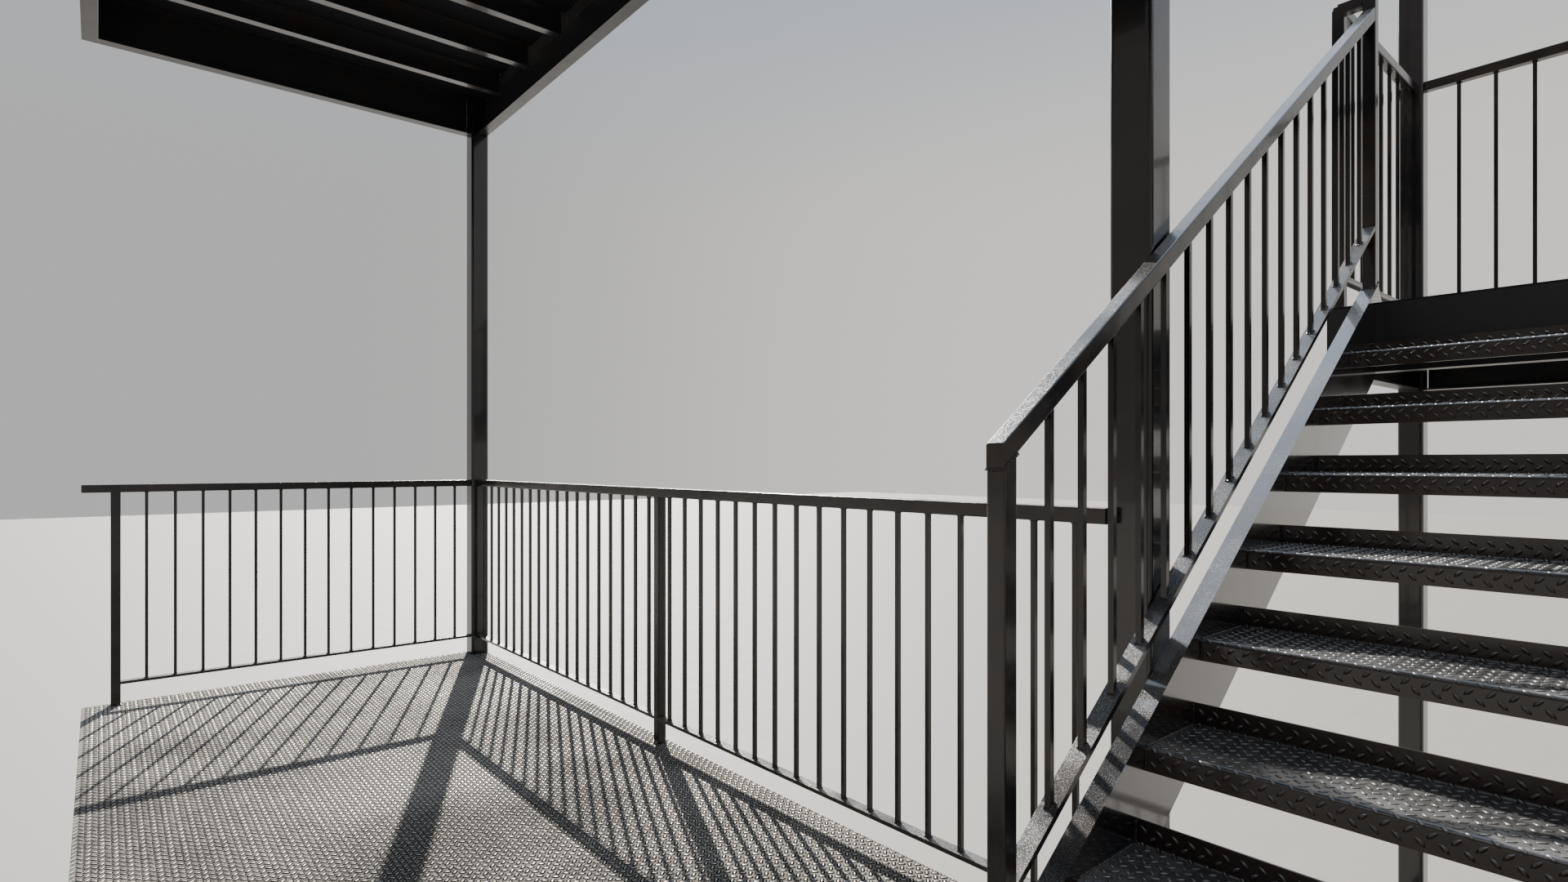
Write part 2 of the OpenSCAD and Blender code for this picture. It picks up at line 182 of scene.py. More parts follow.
# Black gloss paint, rolled on: orange peel, dull patches, a brown film, and grit on top
blackPaint = {
    "deep": colour(0.006, 0.006, 0.0065),
    "film": colour(0.030, 0.018, 0.011),
    "dust": colour(0.30, 0.29, 0.28),
    "rust": colour(0.14, 0.055, 0.024),
    "filmNoise": (5.0, 5.0, 0.6), "filmEdge": (0.42, 0.75), "filmShare": 0.75, "filmRough": 0.08,
    "peelNoise": (230.0, 2.0), "peelHeight": 0.00008,
    "waveNoise": (17.0, 1.0), "waveHeight": 0.0006,
    "gritNoise": (420.0, 2.0, 0.6), "gritEdge": (0.50, 0.68), "gritHeight": 0.00012, "gritRough": 0.35,
    "dustNoise": (6.0, 4.0), "dustEdge": (0.35, 0.65), "dustLeast": 0.4, "dustShare": 0.3,
    "dustTurn": (0.5, 0.8),     # how far a face turns up before dust lies on it
    "rustNoise": (11.0, 6.0, 0.65), "rustEdge": (0.68, 0.80), "rustShare": 0.5, "rustRough": 0.3,
    "shine": 0.20, "roughLeast": 0.05, "gloss": 0.5,
    "coat": 0.3, "coatRough": 0.05, "coatIor": 1.5,
}
paints = {
    "column_paint": {"filmShare": 0.4, "coat": 0.6},
    # frame paint, and joist paint even more, is lighter than the other black paint: painted light
    # standing for light bounced up under the decks
    "frame_paint": {"deep": colour(0.013, 0.014, 0.016), "filmShare": 0.35, "rustShare": 0.25,
                    "shine": 0.34, "gloss": 0.4, "coat": 0.0},
    "joist_paint_painted_bounce": {"deep": colour(0.022, 0.023, 0.026), "rustShare": 0.8},
    "stringer_paint": {"filmShare": 0.7, "coat": 0.9, "coatIor": 1.7},
    # the guards' film is browner: partly a brown film, partly a painted reflection of a brick wall
    "guard_paint": {"film": colour(0.034, 0.018, 0.009), "dustShare": 0.4, "gritHeight": 0.0002,
                    "coat": 0.2},
    "bolt_steel": {"shine": 0.3, "rustShare": 1.0},
}


def glossPaint(name, paint):
    look, start, place = startLook(name)
    film = noise(place, *paint["filmNoise"]).rise(*paint["filmEdge"])
    peel = noise(place, *paint["peelNoise"])
    wave = noise(place, *paint["waveNoise"])
    grit = noise(place, *paint["gritNoise"]).rise(*paint["gritEdge"])
    rust = noise(place, *paint["rustNoise"]).rise(*paint["rustEdge"])
    drifts = noise(place, *paint["dustNoise"]).rise(*paint["dustEdge"])
    settled = facingUp(start).rise(*paint["dustTurn"]) * atLeast(paint["dustLeast"], drifts)
    gritty = settled * atLeast(paint["dustLeast"], grit)
    body = start.mixColour(film * paint["filmShare"], paint["deep"], paint["film"])
    dusty = start.mixColour(gritty * paint["dustShare"], body, paint["dust"])
    shown = start.mixColour(rust * paint["rustShare"], dusty, paint["rust"])
    roughness = paint["shine"] + film * paint["filmRough"] + settled * grit * paint["gritRough"]
    roughness = roughness + rust * paint["rustRough"]
    height = peel * paint["peelHeight"] + wave * paint["waveHeight"]
    height = height + grit * settled * paint["gritHeight"]
    return finishLook(look, start, paint, shown, roughness, height)


# 1 on a lug, and 1 in the ring round it that holds dirt and painted shade, from the plate's pattern
def lugMarks(start, place):
    x, y, z = place.parts()
    step = lug["pitch"] * math.sqrt(2)
    along, across = (x + y) / step, (y - x) / step
    column, row = start.math("ROUND", along), start.math("ROUND", across)
    odd = start.math("FLOORED_MODULO", column + row, 2.0)
    a, b = start.math("ABSOLUTE", along - column), start.math("ABSOLUTE", across - row)
    length = a + (b - a) * odd
    width = b + (a - b) * odd

    def inOval(margin, edge):
        span = 2 * lug["pitch"]
        reach = start.math("POWER", length * (span / (lug["length"] + margin)), 2.0)
        reach = reach + start.math("POWER", width * (span / (lug["width"] + margin)), 2.0)
        return 1.0 - reach.rise(*edge)

    on = inOval(lug["bareMargin"], lug["bareEdge"])
    return on, inOval(lug["dirtShadeMargin"], lug["dirtEdge"]) - on


# Floor plate: paint worn to grey steel, dirt and painted shade round its lugs, pale scuffs; plain where
# it doesn't face up
deckPlate = {
    "paint": colour(0.052, 0.047, 0.041),
    "worn": colour(0.180, 0.163, 0.142),
    "dirt": colour(0.007, 0.0065, 0.006),
    "side": colour(0.020, 0.020, 0.022),
    "speck": colour(0.39, 0.36, 0.32),
    "lugTop": colour(0.50, 0.48, 0.45),
    "rust": colour(0.07, 0.04, 0.025),
    "patchNoise": (1.3, 4.0, 0.6), "patchPart": 1.1,
    "mottleNoise": (30.0, 5.0, 0.7), "mottlePart": 0.45, "mottleHeight": 0.0003, "mottleRough": 0.16,
    "wornEdge": (0.58, 0.96), "wornShine": 0.08,
    "speckNoise": (300.0, 2.0), "speckEdge": (0.50, 0.66), "speckShare": 0.75, "speckHeight": 0.0001,
    "gritNoise": (150.0, 3.0, 0.7), "gritHeight": 0.00025, "gritRough": 0.10,
    "dirtEdge": (0.40, 0.62), "dirtShare": 0.45,
    "rustNoise": (7.0, 6.0, 0.7), "rustEdge": (0.66, 0.82), "rustShare": 0.2,
    "topTurn": (0.3, 0.6),      # how far a face turns up before it is worn
    "lugsMarked": True,         # by their places on the plate
    # the ring round each lug is darkened: partly dirt, partly painted shade, a contact shadow drawn into
    # the colour
    "dirtShadeRingShare": 0.95, "lugShare": 0.9, "lugLeast": 0.5, "lugRough": 0.32,
    "bare": 0.0, "bareLeast": 0.4,      # bare metal all over
    "grain": 1.0, "rough": 0.55, "roughLeast": 0.08, "gloss": 0.0,
    "coat": 0.0, "coatRough": 0.1, "coatIor": 1.5,
}
treadPlate = {
    **deckPlate,
    "paint": colour(0.016, 0.016, 0.017),
    # worn patches on the treads' tops: real wear, made lighter to stand for a sheen of sky, so partly a
    # painted sheen
    "worn": colour(0.115, 0.112, 0.108),
    "dirt": colour(0.008, 0.007, 0.006),
    # the treads' lips and other faces that don't face up are tinted brown: a painted reflection of a
    # brick wall
    "side": colour(0.020, 0.012, 0.009),
    "speck": colour(0.12, 0.11, 0.10),
    "lugTop": colour(0.45, 0.44, 0.43),
    "rust": colour(0.09, 0.04, 0.02),
    "dirtShare": 0.4, "speckShare": 0.08, "rustShare": 0.35,
    "lugsMarked": False, "grain": 0.3, "rough": 0.12, "gloss": 0.5, "coat": 0.3,
}
plates = {
    "floor_plate": deckPlate,
    "tread_plate": treadPlate,
    "tread_lugs": {**treadPlate, "side": colour(0.060, 0.052, 0.046), "bare": 0.6},
}


def plateLook(name, plate):
    look, start, place = startLook(name)
    patches = noise(place, *plate["patchNoise"])
    mottle = noise(place, *plate["mottleNoise"])
    speck = noise(place, *plate["speckNoise"]).rise(*plate["speckEdge"])
    grit = noise(place, *plate["gritNoise"])
    worn = (patches * plate["patchPart"] + mottle * plate["mottlePart"]).rise(*plate["wornEdge"])
    base = start.mixColour(worn, plate["paint"], plate["worn"])
    base = start.mixColour(speck * plate["speckShare"], base, plate["speck"])
    dirt = grit.rise(*plate["dirtEdge"]) * plate["dirtShare"]
    height = grit * plate["gritHeight"] + mottle * plate["mottleHeight"] + speck * plate["speckHeight"]
    roughness = plate["rough"] + mottle * plate["mottleRough"] + grit * plate["gritRough"]
    roughness = roughness - worn * plate["wornShine"]
    metal = None
    if plate["lugsMarked"]:
        on, dirtShadeRing = lugMarks(start, place)
        metal = on * (plate["lugShare"] * atLeast(plate["lugLeast"], worn))
        base = start.mixColour(metal, base, plate["lugTop"])
        # darken the ring round each lug: dirt, and painted shade where the lug meets the plate
        dirt = (dirt + dirtShadeRing * plate["dirtShadeRingShare"]) * (1.0 - on)
        roughness = roughness + (plate["lugRough"] - roughness) * metal
    if plate["bare"]:
        metal = atLeast(plate["bareLeast"], worn) * plate["bare"]
        base = start.mixColour(metal, base, plate["lugTop"])
    shown = start.mixColour(dirt.between(0.0, 1.0), base, plate["dirt"])
    rusty = noise(place, *plate["rustNoise"]).rise(*plate["rustEdge"])
    shown = start.mixColour(rusty * plate["rustShare"], shown, plate["rust"])
    top = facingUp(start).rise(*plate["topTurn"])
    # faces that don't face up take the side colour; on the treads this holds a painted reflection
    shown = start.mixColour(top, plate["side"], shown)
    return finishLook(look, start, plate, shown, roughness, height * plate["grain"], metal)


looks = {name: glossPaint(name, {**blackPaint, **changes}) for name, changes in paints.items()}
looks.update({name: plateLook(name, plate) for name, plate in plates.items()})
for subpart in frame["record"]["subparts"]:
    piece = nodes[subpart["node"]]
    piece.data.materials.clear()
    # the joists get the lighter paint, which holds painted bounce light
    slot = "joist_paint_painted_bounce" if "joists" in subpart["node"] else subpart["material_slot"]
    piece.data.materials.append(looks[slot])
print("materials made:", len(looks))


# Geometry nodes

def startTree(name, sockets):
    tree = bpy.data.node_groups.new(name, "GeometryNodeTree")
    tree.interface.new_socket("Geometry", in_out="OUTPUT", socket_type="NodeSocketGeometry")
    for label, kind in sockets.items():
        tree.interface.new_socket(label, in_out="INPUT", socket_type="NodeSocket" + kind)
    given = tree.nodes.new("NodeGroupInput")
    return Value(tree), {label: Value(tree, given.outputs[label]) for label in sockets}


def endTree(geometry, look):
    whole = geometry.node("GeometryNodeRealizeInstances", {}, {0: geometry})
    whole = whole.node("GeometryNodeSetMaterial", {}, {"Geometry": whole, "Material": look})
    out = geometry.tree.nodes.new("NodeGroupOutput")
    geometry.tree.links.new(whole.socket, out.inputs[0])


# The shape of an object that is one of the tree's inputs
def shapeOf(start, given):
    return start.node("GeometryNodeObjectInfo", {}, {"Object": given}, "Geometry")


# The plain mesh that a tree makes, as a piece that rides on the stair
def growPiece(name, tree, values):
    piece = bpy.data.objects.new(name, bpy.data.meshes.new(name))
    bpy.context.scene.collection.objects.link(piece)
    modifier = piece.modifiers.new(name, "NODES")
    modifier.node_group = tree
    for item in tree.interface.items_tree:
        if item.in_out == "INPUT" and item.name in values:
            modifier[item.identifier] = values[item.name]
    evaluated = piece.evaluated_get(bpy.context.evaluated_depsgraph_get())
    grown = bpy.data.meshes.new_from_object(evaluated)
    piece.modifiers.clear()
    piece.data = grown
    piece.data.name = name
    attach(piece, "root")
    return piece


# A mesh whose faces are all flat or all smooth
def shapeObject(name, points, faces, edges=(), smooth=False):
    mesh = bpy.data.meshes.new(name)
    mesh.from_pydata(points, edges, faces)
    for face in mesh.polygons:
        face.use_smooth = smooth
    return bpy.data.objects.new(name, mesh)


# Checker plate

def makeLug():
    l, w, h = lug["length"] / 2, lug["width"] / 2, lug["height"]
    foot = [(-l, 0), (-l / 3, -w), (l / 3, -w), (l, 0), (l / 3, w), (-l / 3, w)]
    points = [(x, y, -lug["sunk"]) for x, y in foot] + [(-l / 3, 0, h), (l / 3, 0, h)]
    faces = [(0, 1, 6), (1, 2, 7, 6), (2, 3, 7), (3, 4, 7), (4, 5, 6, 7), (5, 0, 6), (5, 4, 3, 2, 1, 0)]
    return shapeObject("lug", points, faces, smooth=True)


lugShape = makeLug()


# Lugs on the flat over the rectangles (x0, y0, x1, y1)
def lugField(start, given, rectangles):
    pitch, edge = lug["pitch"], lug["edge"]
    low = [min(r[i] for r in rectangles) for i in (0, 1)]
    high = [max(r[i] for r in rectangles) for i in (2, 3)]
    cell = pitch * math.sqrt(2)
    middle = [round((a + b) / 2 / cell) * cell for a, b in zip(low, high)]
    rows = 2 * math.ceil((high[0] - low[0] + high[1] - low[1]) / cell / 2 + 1) + 1
    side = (rows - 1) * pitch
    sizes = {"Size X": side, "Size Y": side, "Vertices X": rows, "Vertices Y": rows}
    grid = start.node("GeometryNodeMeshGrid", {}, sizes)
    placing = {0: grid, "Translation": (*middle, 0), "Rotation": (0, 0, math.pi / 4)}
    turned = start.node("GeometryNodeTransform", {}, placing)
    x, y, z = start.node("GeometryNodeInputPosition").parts()
    inside = 0.0
    for x0, y0, x1, y1 in rectangles:
        here = x.above(x0 + edge) * y.above(y0 + edge)
        inside = here * (1 - x.above(x1 - edge)) * (1 - y.above(y1 - edge)) + inside
    odd = start.math("MODULO", start.node("GeometryNodeInputIndex"), 2.0)
    angle = start.node("ShaderNodeCombineXYZ", {}, {"Z": odd * (math.pi / 2) + math.pi / 4})
    placed = start.node("GeometryNodeInstanceOnPoints", {}, {
        "Points": turned, "Selection": inside, "Instance": shapeOf(start, given["Lug"]),
        "Rotation": angle})
    return start.node("GeometryNodeRealizeInstances", {}, {0: placed})


def plateLugs(name, pads, top):
    start, given = startTree(name, {"Lug": "Object", "Top": "Float", "Look": "Material"})
    field = lugField(start, given, pads)
    lift = start.node("ShaderNodeCombineXYZ", {}, {"Z": given["Top"]})
    raised = start.node("GeometryNodeTransform", {}, {0: field, "Translation": lift})
    endTree(raised, given["Look"])
    values = {"Lug": lugShape, "Top": top, "Look": looks["floor_plate"]}
    return growPiece(name, start.tree, values)


def makeFloorLugs():
    s = stair
    far, near, notch = s["farX"], s["nearX"], s["notch"]
    half, edge = s["columnHalf"], s["floorEdge"]
    join = 2 * lug["edge"]      # overlap of two rectangles, so that no row is missing between them
    bay = [(far - edge, s["wallY"], -half, -half), (-half, s["wallY"], edge, edge - notch),
           (far + half, -half - join, -half, edge)]
    stairBay = [(edge, s["wallY"], near + edge, s["stairY"])]
    columnY = s["outY"] - s["landingHalf"]
    landing = [(-edge, s["landY"], near + edge, columnY),
               (notch, columnY - join, near - notch, s["outY"] + edge)]
    for name, top in zip(["lower", "upper"], s["floors"]):
        plateLugs(name + "_deck_lugs", bay, top)
        plateLugs(name + "_deck_stair_lugs", stairBay, top)
    for name, top in zip(["lower", "upper"], s["landings"]):
        plateLugs(name + "_landing_lugs", landing, top)


makeFloorLugs()
print("floor lugs made")

# A bent plate tread, as in the frame
tread = {
    "run": 0.270, "riser": 0.1905, "count": 8,
    "width": 0.9136, "depth": 0.235, "lip": 0.0508, "sheet": 0.0048,
    "inset": 0.0464,                        # from the stringer's outer edge to the tread's end
    "weldIn": 0.008,                        # from the front and heel edges to the weld along the top
    "weldTall": 0.045, "weldUnder": 0.006,  # lengths and start of the welds up the two lips
}


# The lugs of one tread lie flat along its sheet and are then bent with it
def treadLugs(name, placeAt, turn):
    sockets = {"Lug": "Object", "Place": "Vector", "Turn": "Vector", "Look": "Material"}
    start, given = startTree(name, sockets)
    sheet, lip = tread["sheet"], tread["lip"]
    nose = 2 * sheet
    noseStart = lip - nose
    noseEnd = noseStart + nose * math.pi / 2
    flat = tread["depth"] - 2 * nose
    heelStart = noseEnd + flat
    heelEnd = heelStart + sheet * math.pi / 2
    field = lugField(start, given, [(0, 0, tread["width"], heelEnd + lip - sheet)])
    x, s, h = start.node("GeometryNodeInputPosition").parts()
    down = ((s - noseStart) / nose).between(0.0, math.pi / 2)
    up = ((s - heelStart) / sheet).between(0.0, math.pi / 2)
    y = nose - (nose + h) * start.math("COSINE", down) + (s - noseEnd).between(0.0, flat)
    y = y + (sheet - h) * start.math("SINE", up)
    z = (nose + h) * start.math("SINE", down) - nose + (s - noseStart).between(-lip, 0.0)
    z = z + (sheet - h) * (1 - start.math("COSINE", up)) + (s - heelEnd).between(0.0, lip)
    bent = start.node("ShaderNodeCombineXYZ", {}, {0: x + tread["inset"], 1: y, 2: z})
    folded = start.node("GeometryNodeSetPosition", {}, {"Geometry": field, "Position": bent})
    steps = start.node("GeometryNodeMeshLine", {"mode": "OFFSET"}, {
        "Count": tread["count"], "Start Location": (0, 0, tread["riser"]),
        "Offset": (0, tread["run"], tread["riser"])})
    flight = start.node("GeometryNodeInstanceOnPoints", {}, {"Points": steps, "Instance": folded})
    whole = start.node("GeometryNodeRealizeInstances", {}, {0: flight})
    placing = {0: whole, "Translation": given["Place"], "Rotation": given["Turn"]}
    endTree(start.node("GeometryNodeTransform", {}, placing), given["Look"])
    values = {"Lug": lugShape, "Place": placeAt, "Turn": turn, "Look": looks["tread_lugs"]}
    return growPiece(name, start.tree, values)


def makeTreadLugs():
    for flight, foot in flights.items():
        low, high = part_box(flight + "_flight_stringers")
        if flight in outward:
            treadLugs(flight + "_tread_lugs", (low[0], stair["stairY"], foot), (0, 0, 0))
        else:
            treadLugs(flight + "_tread_lugs", (high[0], stair["landY"], foot), (0, 0, math.pi))


makeTreadLugs()
print("tread lugs made")

# Weld beads, along lines from point to point
weld = {
    "bead": 0.0036, "step": 0.0045,
    "sizes": (0.75, 1.3), "sizeSeed": 4,    # smallest and largest bead, as shares
    "turn": 6.0, "turnSeed": 9,             # most that a bead is turned about each axis
    "lift": 0.001,                          # of a bead's middle off the face beside it
}


def makeBead():
    r = weld["bead"]
    points = [(r, 0, 0), (-r, 0, 0), (0, r, 0), (0, -r, 0), (0, 0, r), (0, 0, -r)]
    faces = [(0, 2, 4), (2, 1, 4), (1, 3, 4), (3, 0, 4), (2, 0, 5), (1, 2, 5), (3, 1, 5), (0, 3, 5)]
    return shapeObject("bead", points, faces, smooth=True)


beadShape = makeBead()


def weldPiece(name, lines):
    points = [point for line in lines for point in line]
    edges = [(i, i + 1) for i in range(0, len(points), 2)]
    paths = shapeObject(name + "_paths", points, [], edges)
    sockets = {"Bead": "Object", "Paths": "Object", "Step": "Float", "Look": "Material"}
    start, given = startTree(name, sockets)
    curve = start.node("GeometryNodeMeshToCurve", {}, {0: shapeOf(start, given["Paths"])})
    spacing = {"Curve": curve, "Length": given["Step"]}
    spaced = start.node("GeometryNodeResampleCurve", {"mode": "LENGTH"}, spacing)
    small, large = weld["sizes"]
    sizes = {2: small, 3: large, "Seed": weld["sizeSeed"]}
    size = start.node("FunctionNodeRandomValue", {"data_type": "FLOAT"}, sizes, 1)
    turns = {1: (weld["turn"],) * 3, "Seed": weld["turnSeed"]}
    turn = start.node("FunctionNodeRandomValue", {"data_type": "FLOAT_VECTOR"}, turns)
    placed = start.node("GeometryNodeInstanceOnPoints", {}, {
        "Points": spaced, "Instance": shapeOf(start, given["Bead"]), "Rotation": turn, "Scale": size})
    endTree(placed, given["Look"])
    values = {"Bead": beadShape, "Paths": paths, "Step": weld["step"], "Look": looks["guard_paint"]}
    return growPiece(name, start.tree, values)


# The four sides of a square round (x, y), whose height at a place is given by level
def squareLines(x, y, half, level):
    corners = [(x + a * half, y + b * half) for a, b in ((-1, -1), (1, -1), (1, 1), (-1, 1))]
    points = [(cx, cy, level(cx, cy)) for cx, cy in corners]
    return [(points[i], points[(i + 1) % 4]) for i in range(4)]


# Level guards: a line along x or y, the places of its posts, and its pickets as first place and count
picket = {
    "half": 0.00635, "post": 0.01905,       # half the width of a picket, and of a post
    "foot": 0.1143, "head": 1.0289,         # over the floor
    "deckPitch": 0.1138, "stairPitch": 0.1164,
}
deckGuards = [
    {"along": "x", "line": 0.0, "posts": [-2.02], "pickets": [(-4.0428, 18), (-1.944, 17)]},
    {"along": "y", "line": stair["farX"], "posts": [-1.735], "pickets": [(-1.617, 14)]},
    {"along": "y", "line": stair["nearX"], "posts": [-1.735, -0.6791], "pickets": [(-1.65272, 9)]},
]
stairGuards = [
    {"along": "y", "line": 0.0, "posts": [-0.6753], "pickets": [(-0.6126, 6)]},
    {"along": "x", "line": -0.6753, "posts": [], "pickets": [(0.1099, 9)]},
]
landingGuards = [
    {"along": "y", "line": stair["leftX"], "posts": [1.5533], "pickets": [(1.7033, 7)]},
    {"along": "y", "line": stair["rightX"], "posts": [1.5533], "pickets": [(1.7033, 7)]},
    {"along": "x", "line": stair["outY"], "posts": [], "pickets": [(0.13785, 17)]},
]


def guardWelds(guards, floor, pitch):
    lines = []
    for guard in guards:
        spots = [(start + i * pitch, height, picket["half"]) for start, count in guard["pickets"]
                 for i in range(count) for height in (picket["foot"], picket["head"])]
        spots += [(place, weld["lift"], picket["post"]) for place in guard["posts"]]
        for place, height, half in spots:
            x, y = (place, guard["line"]) if guard["along"] == "x" else (guard["line"], place)
            lines += squareLines(x, y, half, lambda cx, cy: floor + height)
    return lines


# Sloping railings, by their run from the first nosing; each line is given by its heights over the
# nosings at the newel and at the top post
rake = {
    "slope": tread["riser"] / tread["run"], "newel": 0.062, "topPost": 2.1943,
    "firstPicket": 0.212, "pickets": 17,
    "foot": (0.184, 0.254),         # of the pickets, on the bottom rail
    "head": (0.9394, 0.9522),       # of the pickets, under the handrail
    "flange": (0.0414, 0.0414),     # top of the stringer
}


def rakeHeight(run, line):
    share = (run - rake["newel"]) / (rake["topPost"] - rake["newel"])
    return tread["riser"] + run * rake["slope"] + line[0] + (line[1] - line[0]) * share


def flightWelds(foot, startY, way, railLines):
    pickets = [(rake["firstPicket"] + i * picket["stairPitch"], line, picket["half"])
               for i in range(rake["pickets"]) for line in ("foot", "head")]
    posts = [(rake["newel"], "flange", picket["post"]), (rake["newel"], "head", picket["post"]),
             (rake["topPost"], "flange", picket["post"])]
    lines = []
    for x in railLines:
        for run, line, half in pickets + posts:
            lines += squareLines(x, startY + way * run, half,
                                 lambda cx, cy: foot + rakeHeight(way * (cy - startY), rake[line]))
    return lines


def treadWelds(foot, startY, way, edges):
    lines = []
    for i in range(tread["count"]):
        z = foot + (i + 1) * tread["riser"]
        y = startY + way * i * tread["run"]
        front, nose = y - way * weld["lift"], y + way * tread["weldIn"]
        heel = y + way * (tread["depth"] - tread["weldIn"])
        for x in edges:
            lines += [((x, nose, z), (x, heel, z)), ((x, heel, z), (x, heel, z + tread["weldTall"])),
                      ((x, front, z - tread["weldTall"]), (x, front, z - tread["weldUnder"]))]
    return lines


# Upright welds where the frames' beams meet the columns, and the feet of the columns
frameWeld = {
    "out": 0.053,       # from a column's middle to the weld on its face
    "side": 0.038,      # from the same middle to the beam's face
    "short": 0.004,     # kept free at the beam's top and foot
}


def frameWelds():
    s, lines = stair, []
    far, out, side = s["farX"], frameWeld["out"], frameWeld["side"]
    for floor in s["floors"]:
        top = floor - s["plate"] - frameWeld["short"]
        foot = floor - s["plate"] - s["beam"] + frameWeld["short"]
        for x, y in [(far + out, side), (far - side, -out), (-out, side)]:
            lines.append(((x, y, foot), (x, y, top)))
    columns = [(far, 0, s["columnHalf"]), (0, s["besideY"], s["columnHalf"]),
               (s["nearX"], s["besideY"], s["columnHalf"]), (s["leftX"], s["outY"], s["landingHalf"]),
               (s["rightX"], s["outY"], s["landingHalf"])]
    for x, y, half in columns:
        lines += squareLines(x, y, half, lambda cx, cy: s["baseTop"] + weld["lift"])
    return lines


def makeWelds():
    for name, floor in zip(["lower", "upper"], stair["floors"]):
        guards = deckGuards + (stairGuards if name == "upper" else [])
        weldPiece(name + "_deck_guard_welds", guardWelds(guards, floor, picket["deckPitch"]))
    for name, floor in zip(["lower", "upper"], stair["landings"]):
        weldPiece(name + "_landing_guard_welds", guardWelds(landingGuards, floor, picket["stairPitch"]))
    for flight, foot in flights.items():
        if flight in outward:
            startY, way, railLines = stair["stairY"], 1, stair["railLines"][:2]
        else:
            startY, way, railLines = stair["landY"], -1, stair["railLines"][2:]
        low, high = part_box(flight + "_flight_treads")
        edges = (low[0] + weld["lift"], high[0] - weld["lift"])
        weldPiece(flight + "_rail_welds", flightWelds(foot, startY, way, railLines))
        weldPiece(flight + "_tread_welds", treadWelds(foot, startY, way, edges))
    weldPiece("frame_welds", frameWelds())


makeWelds()
print("welds made")

# Anchors: a threaded end, a nut and a washer
anchor = {
    "rod": 0.010, "rodSides": 12, "out": 0.045,
    "nut": 0.0173, "nutSides": 6, "nutHeight": 0.016,
    "washer": 0.0185, "washerSides": 20, "washerHeight": 0.003,
    "reach": 0.095,         # from a column's middle to its anchors, along x and along y
    "wallStart": -3.95, "wallPitch": 0.6, "wallCount": 11,
    "wallRow": 0.055,       # above and below the ledger's middle
    "web": 0.006,           # thickness of the ledger's web, which the washers lie on
}


def prism(sides, radius, low, high, points, faces):
    first = len(points)
    for z in (low, high):
        for i in range(sides):
            angle = 2 * math.pi * i / sides
            points.append((radius * math.cos(angle), radius * math.sin(angle), z))
    faces.append([first + i for i in reversed(range(sides))])
    faces.append([first + sides + i for i in range(sides)])
    for i in range(sides):
        j = (i + 1) % sides
        faces.append([first + i, first + j, first + sides + j, first + sides + i])


def makeAnchor():
    points, faces = [], []
    nutFoot = anchor["washerHeight"]
    nutTop = nutFoot + anchor["nutHeight"]
    prism(anchor["washerSides"], anchor["washer"], 0, nutFoot, points, faces)
    prism(anchor["nutSides"], anchor["nut"], nutFoot, nutTop, points, faces)
    prism(anchor["rodSides"], anchor["rod"], nutTop, anchor["out"], points, faces)
    return shapeObject("anchor", points, faces)


anchorShape = makeAnchor()


def anchorPiece(name, spots, turn):
    places = shapeObject(name + "_places", spots, [])
    sockets = {"Anchor": "Object", "Places": "Object", "Turn": "Vector", "Look": "Material"}
    start, given = startTree(name, sockets)
    placed = start.node("GeometryNodeInstanceOnPoints", {}, {
        "Points": shapeOf(start, given["Places"]), "Instance": shapeOf(start, given["Anchor"]),
        "Rotation": given["Turn"]})
    endTree(placed, given["Look"])
    values = {"Anchor": anchorShape, "Places": places, "Turn": turn, "Look": looks["bolt_steel"]}
    return growPiece(name, start.tree, values)


def makeAnchors():
    s, reach = stair, anchor["reach"]
    feet = [(s["farX"], 0), (0, s["besideY"]), (s["nearX"], s["besideY"]), (s["leftX"], s["outY"]),
            (s["rightX"], s["outY"])]
    spots = [(x + a * reach, y + b * reach, s["baseTop"])
             for x, y in feet for a in (-1, 1) for b in (-1, 1)]
    anchorPiece("foot_anchors", spots, (0, 0, 0))
    y = s["wallY"] + anchor["web"]
    places = [anchor["wallStart"] + i * anchor["wallPitch"] for i in range(anchor["wallCount"])]
    middles = [floor - s["plate"] - s["beam"] / 2 for floor in s["floors"]]
    spots = [(x, y, z + side * anchor["wallRow"])
             for z in middles for x in places for side in (-1, 1)]
    anchorPiece("wall_anchors", spots, (-math.pi / 2, 0, 0))


makeAnchors()
print("anchors made")

# Camera at the photograph's place, and its lens by the picture's own pixels
view = {
    "place": (0.927, -1.795, 4.601), "turn": 50.0,
    "imageWidth": 1920, "imageHeight": 1080, "focal": 999.0, "horizonRow": 566.6,
    "film": 36.0, "nearest": 0.02,
}


def makeCamera():
    camera = bpy.data.objects.new("camera", bpy.data.cameras.new("camera"))
    bpy.context.scene.collection.objects.link(camera)
    camera.location = view["place"]
    camera.rotation_euler = (math.pi / 2, 0, math.radians(view["turn"]))
    camera.data.sensor_width = view["film"]
    camera.data.lens = view["focal"] / view["imageWidth"] * view["film"]
    camera.data.shift_y = (view["horizonRow"] - view["imageHeight"] / 2) / view["imageWidth"]
    camera.data.clip_start = view["nearest"]
    bpy.context.scene.camera = camera


# A sun, and a pale studio whose tone changes with the direction
light = {
    "sunTurn": (56.8, 0.0, 246.5), "sunPower": 20.0, "sunWidth": 0.53, "sunColour": (1.0, 0.96, 0.90),
    "level": colour(0.52, 0.52, 0.515),
    "ahead": colour(0.88, 0.85, 0.80), "aheadEdge": (0.2, 0.9),
    "half": colour(0.48, 0.54, 0.64), "halfEdge": (0.25, 0.6),
    "above": colour(1.45, 1.7, 2.05), "aboveEdge": (0.5, 0.8),
    "behind": colour(0.34, 0.31, 0.29), "behindEdge": (0.1, 0.6), "behindTop": (0.35, 0.8),
    "power": 1.0,
}


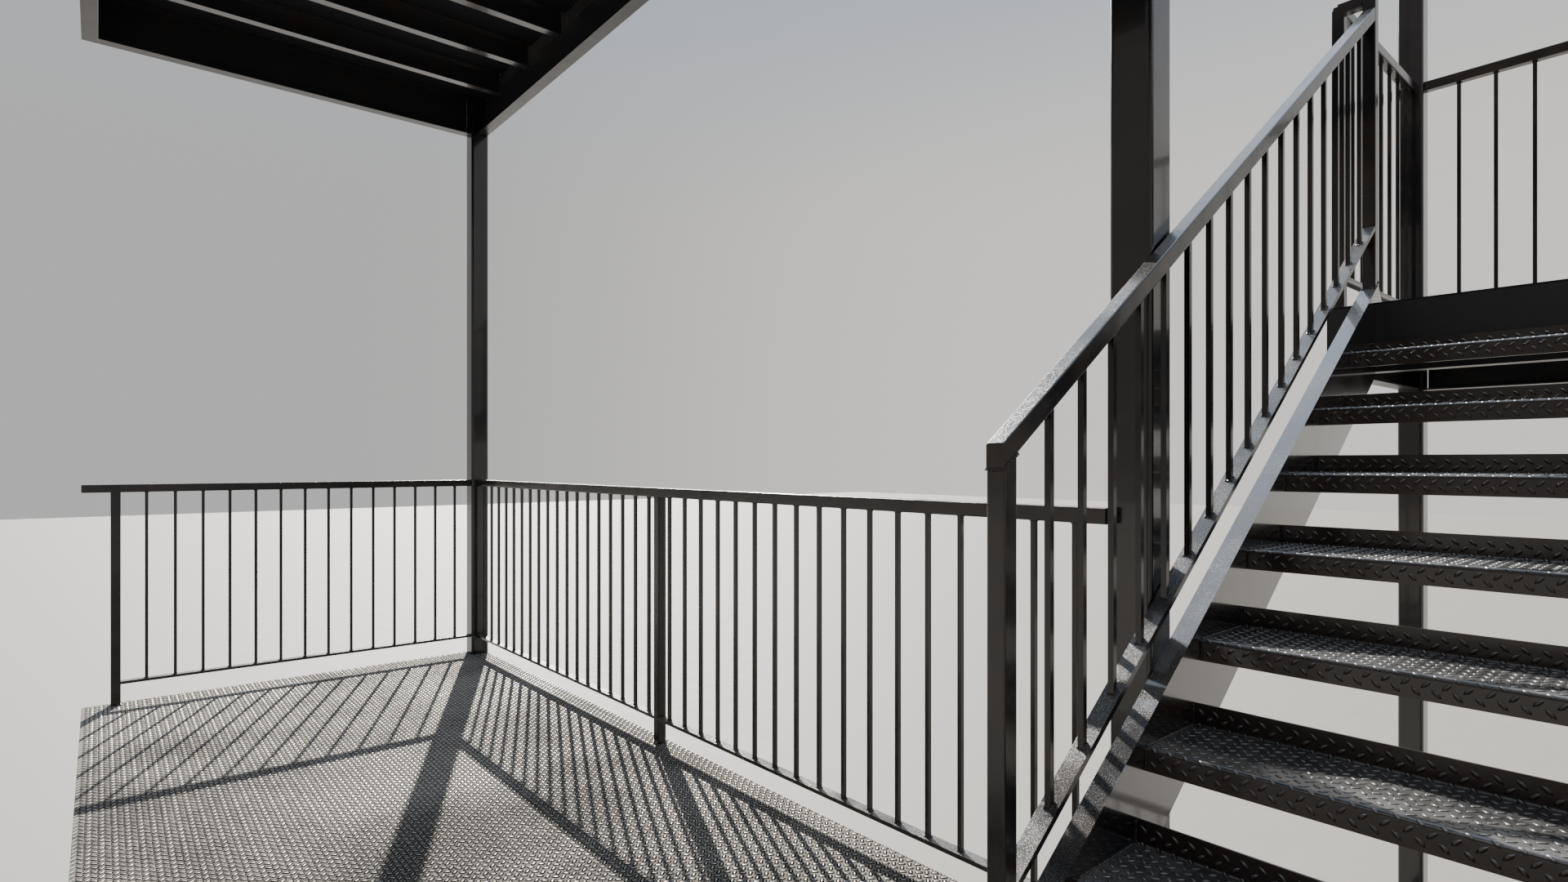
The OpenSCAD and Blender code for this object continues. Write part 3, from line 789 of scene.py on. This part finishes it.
def makeLight():
    sun = bpy.data.lights.new("sun", "SUN")
    sun.energy, sun.angle = light["sunPower"], math.radians(light["sunWidth"])
    sun.color = light["sunColour"]
    lamp = bpy.data.objects.new("sun", sun)
    lamp.rotation_euler = [math.radians(angle) for angle in light["sunTurn"]]
    bpy.context.scene.collection.objects.link(lamp)
    world = bpy.data.worlds.new("studio")
    world.use_nodes = True
    start = Value(world.node_tree)
    x, y, z = start.node("ShaderNodeTexCoord", {}, {}, "Generated").parts()
    sky = start.mixColour(y.rise(*light["aheadEdge"]), light["level"], light["ahead"])
    sky = start.mixColour(z.rise(*light["halfEdge"]), sky, light["half"])
    sky = start.mixColour(z.rise(*light["aboveEdge"]), sky, light["above"])
    low = (0.0 - y).rise(*light["behindEdge"]) * (1 - z.rise(*light["behindTop"]))
    shown = start.mixColour(low, sky, light["behind"])
    back = world.node_tree.nodes["Background"]
    world.node_tree.links.new(shown.socket, back.inputs["Color"])
    back.inputs["Strength"].default_value = light["power"]
    bpy.context.scene.world = world


studioFloor = {
    "half": 90.0,
    "dark": colour(0.148, 0.135, 0.119), "pale": colour(0.172, 0.158, 0.141),
    "toneNoise": (3.0, 4.0), "toneRough": 0.1, "grainNoise": (60.0,), "grainHeight": 0.0005,
    "rough": 0.7, "roughLeast": 0.05, "gloss": 0.5, "coat": 0.0, "coatRough": 0.03, "coatIor": 1.5,
}


def makeFloor():
    half = studioFloor["half"]
    corners = [(-half, -half, 0), (half, -half, 0), (half, half, 0), (-half, half, 0)]
    floor = shapeObject("studioFloor", corners, [(0, 1, 2, 3)])
    bpy.context.scene.collection.objects.link(floor)
    look, start, place = startLook("studioFloor")
    tone = noise(place, *studioFloor["toneNoise"])
    grain = noise(place, *studioFloor["grainNoise"])
    shown = start.mixColour(tone, studioFloor["dark"], studioFloor["pale"])
    roughness = tone * studioFloor["toneRough"] + studioFloor["rough"]
    finishLook(look, start, studioFloor, shown, roughness, grain * studioFloor["grainHeight"])
    floor.data.materials.append(look)


makeCamera()
makeLight()
makeFloor()
print("camera, light and floor made")
